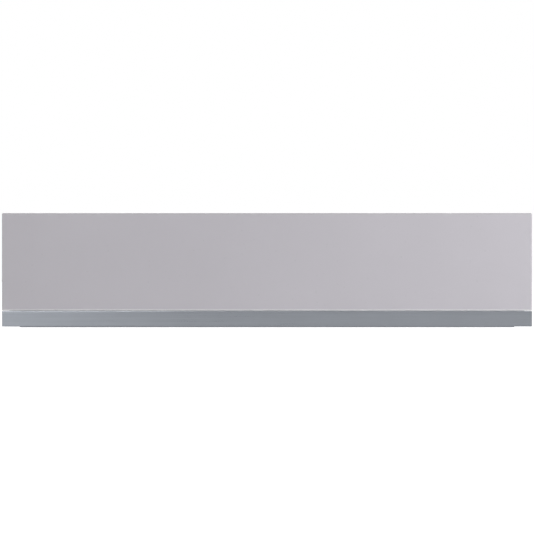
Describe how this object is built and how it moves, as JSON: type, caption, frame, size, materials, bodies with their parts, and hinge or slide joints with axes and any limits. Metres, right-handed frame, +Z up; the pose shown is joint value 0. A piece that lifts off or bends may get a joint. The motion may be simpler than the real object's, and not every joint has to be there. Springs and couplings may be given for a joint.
{
  "type": "warming drawer",
  "caption": "Handleless warming drawer: glass front over a metal trim strip, heated steel tub on telescopic ball runners, blower, knob control and sheet-steel housing.",
  "frame": {"origin": "centre of the housing's base, on the surface it stands on, under the middle of the whole depth", "axes": "+X to the right as seen from the front, +Y into the depth, +Z up; the front faces -Y and the drawer opens along -Y"},
  "size_m": [0.595, 0.55, 0.1285],
  "materials": {
    "glass_front": "grey enamel on the back of toughened glass",
    "trim_metal": "fine horizontal brushing, satin",
    "stainless": "brushed",
    "galvanised": "zinc-coated sheet with a fine spangle",
    "runner_steel": "bright zinc plate",
    "fastener": "zinc-plated",
    "black_plastic": "fine moulded grain",
    "pale_plastic": "fine moulded grain",
    "mat_rubber": "ribbed silicone",
    "element_sheath": "heat-darkened tube",
    "insulation": "pressed mineral board",
    "core_steel": "laminated sheet",
    "copper": "wound wire under varnish",
    "lamp_lens": "clear amber",
    "switch_red": "glossy",
    "lead_sheath": "smooth lead sheath"
  },
  "bodies": {
    "housing": {"base_pan": "galvanised", "side_wall_left": "galvanised", "side_wall_right": "galvanised", "rear_wall": "galvanised", "top_cover": "galvanised", "front_rail": "stainless", "runner_outer_left": "runner_steel", "runner_outer_right": "runner_steel", "latch_body": "black_plastic", "latch_spring": "fastener", "cable_gland": "black_plastic", "terminal_box": "pale_plastic", "housing_screws": "fastener", "front_buffers": "pale_plastic", "coiled_lead": "lead_sheath"},
    "latch_plunger": {"latch_plunger": "pale_plastic"},
    "drawer": {"glass_panel": "glass_front", "trim_strip": "trim_metal", "trim_end_plugs": "black_plastic", "glass_tape": "mat_rubber", "front_carrier": "galvanised", "inner_front": "stainless", "side_frame_left": "galvanised", "side_frame_right": "galvanised", "tub": "stainless", "air_grille": "stainless", "anti_slip_mat": "mat_rubber", "heating_element": "element_sheath", "element_clips": "stainless", "reflector_tray": "galvanised", "insulation_board": "insulation", "underpan": "galvanised", "blower_box": "galvanised", "blower_lid": "galvanised", "blower_scroll": "galvanised", "blower_bush": "mat_rubber", "motor_core": "core_steel", "motor_coil": "copper", "motor_brackets": "galvanised", "control_panel": "stainless", "switch_bezel": "black_plastic", "indicator_lamp": "lamp_lens", "thermostat_body": "pale_plastic", "thermal_cutout": "pale_plastic", "strike_plate": "stainless", "lead_clamp": "black_plastic", "drawer_screws": "fastener", "runner_inner_left": "runner_steel", "runner_inner_right": "runner_steel"},
    "runner_mid_left": {"runner_mid_left": "runner_steel"},
    "runner_mid_right": {"runner_mid_right": "runner_steel"},
    "cage_outer_left": {"cage_outer_left": "fastener"},
    "cage_outer_right": {"cage_outer_right": "fastener"},
    "cage_inner_left": {"cage_inner_left": "fastener"},
    "cage_inner_right": {"cage_inner_right": "fastener"},
    "blower_rotor": {"impeller": "black_plastic", "motor_rotor": "core_steel"},
    "temperature_knob": {"temperature_knob": "black_plastic", "thermostat_shaft": "fastener"},
    "switch_rocker": {"switch_rocker": "switch_red"}
  },
  "joints": [
    {"name": "front_press", "type": "slide", "parent": "housing", "child": "latch_plunger", "axis": [0, -1, 0], "range_m": [-0.0025, 0], "stiffness_N_per_m": 2000, "springref_m": 0.0025, "deforming": ["latch_spring"]},
    {"name": "drawer_slide", "type": "slide", "parent": "latch_plunger", "child": "drawer", "axis": [0, -1, 0], "range_m": [0, 0.413], "deforming": ["coiled_lead"]},
    {"name": "runner_mid_left_slide", "type": "slide", "parent": "housing", "child": "runner_mid_left", "axis": [0, -1, 0], "range_m": [0, 0.2065]},
    {"name": "cage_outer_left_slide", "type": "slide", "parent": "housing", "child": "cage_outer_left", "axis": [0, -1, 0], "range_m": [0, 0.10325]},
    {"name": "cage_inner_left_slide", "type": "slide", "parent": "housing", "child": "cage_inner_left", "axis": [0, -1, 0], "range_m": [0, 0.30975]},
    {"name": "runner_mid_right_slide", "type": "slide", "parent": "housing", "child": "runner_mid_right", "axis": [0, -1, 0], "range_m": [0, 0.2065]},
    {"name": "cage_outer_right_slide", "type": "slide", "parent": "housing", "child": "cage_outer_right", "axis": [0, -1, 0], "range_m": [0, 0.10325]},
    {"name": "cage_inner_right_slide", "type": "slide", "parent": "housing", "child": "cage_inner_right", "axis": [0, -1, 0], "range_m": [0, 0.30975]},
    {"name": "blower_spin", "type": "hinge", "parent": "drawer", "child": "blower_rotor", "pos_m": [0, 0.193, 0.064], "axis": [1, 0, 0], "continuous": true},
    {"name": "knob_turn", "type": "hinge", "parent": "drawer", "child": "temperature_knob", "pos_m": [0.205, -0.23735, 0.1], "axis": [0, 0, -1], "range_deg": [0, 270]},
    {"name": "switch_rock", "type": "hinge", "parent": "drawer", "child": "switch_rocker", "pos_m": [0.15, -0.23735, 0.099], "axis": [0, -1, 0], "range_deg": [0, 14]}
  ],
  "couplings": [
    {"joint": "runner_mid_left_slide", "follows": "drawer_slide", "ratio": 0.5},
    {"joint": "cage_outer_left_slide", "follows": "drawer_slide", "ratio": 0.25},
    {"joint": "cage_inner_left_slide", "follows": "drawer_slide", "ratio": 0.75},
    {"joint": "runner_mid_right_slide", "follows": "drawer_slide", "ratio": 0.5},
    {"joint": "cage_outer_right_slide", "follows": "drawer_slide", "ratio": 0.25},
    {"joint": "cage_inner_right_slide", "follows": "drawer_slide", "ratio": 0.75}
  ]
}
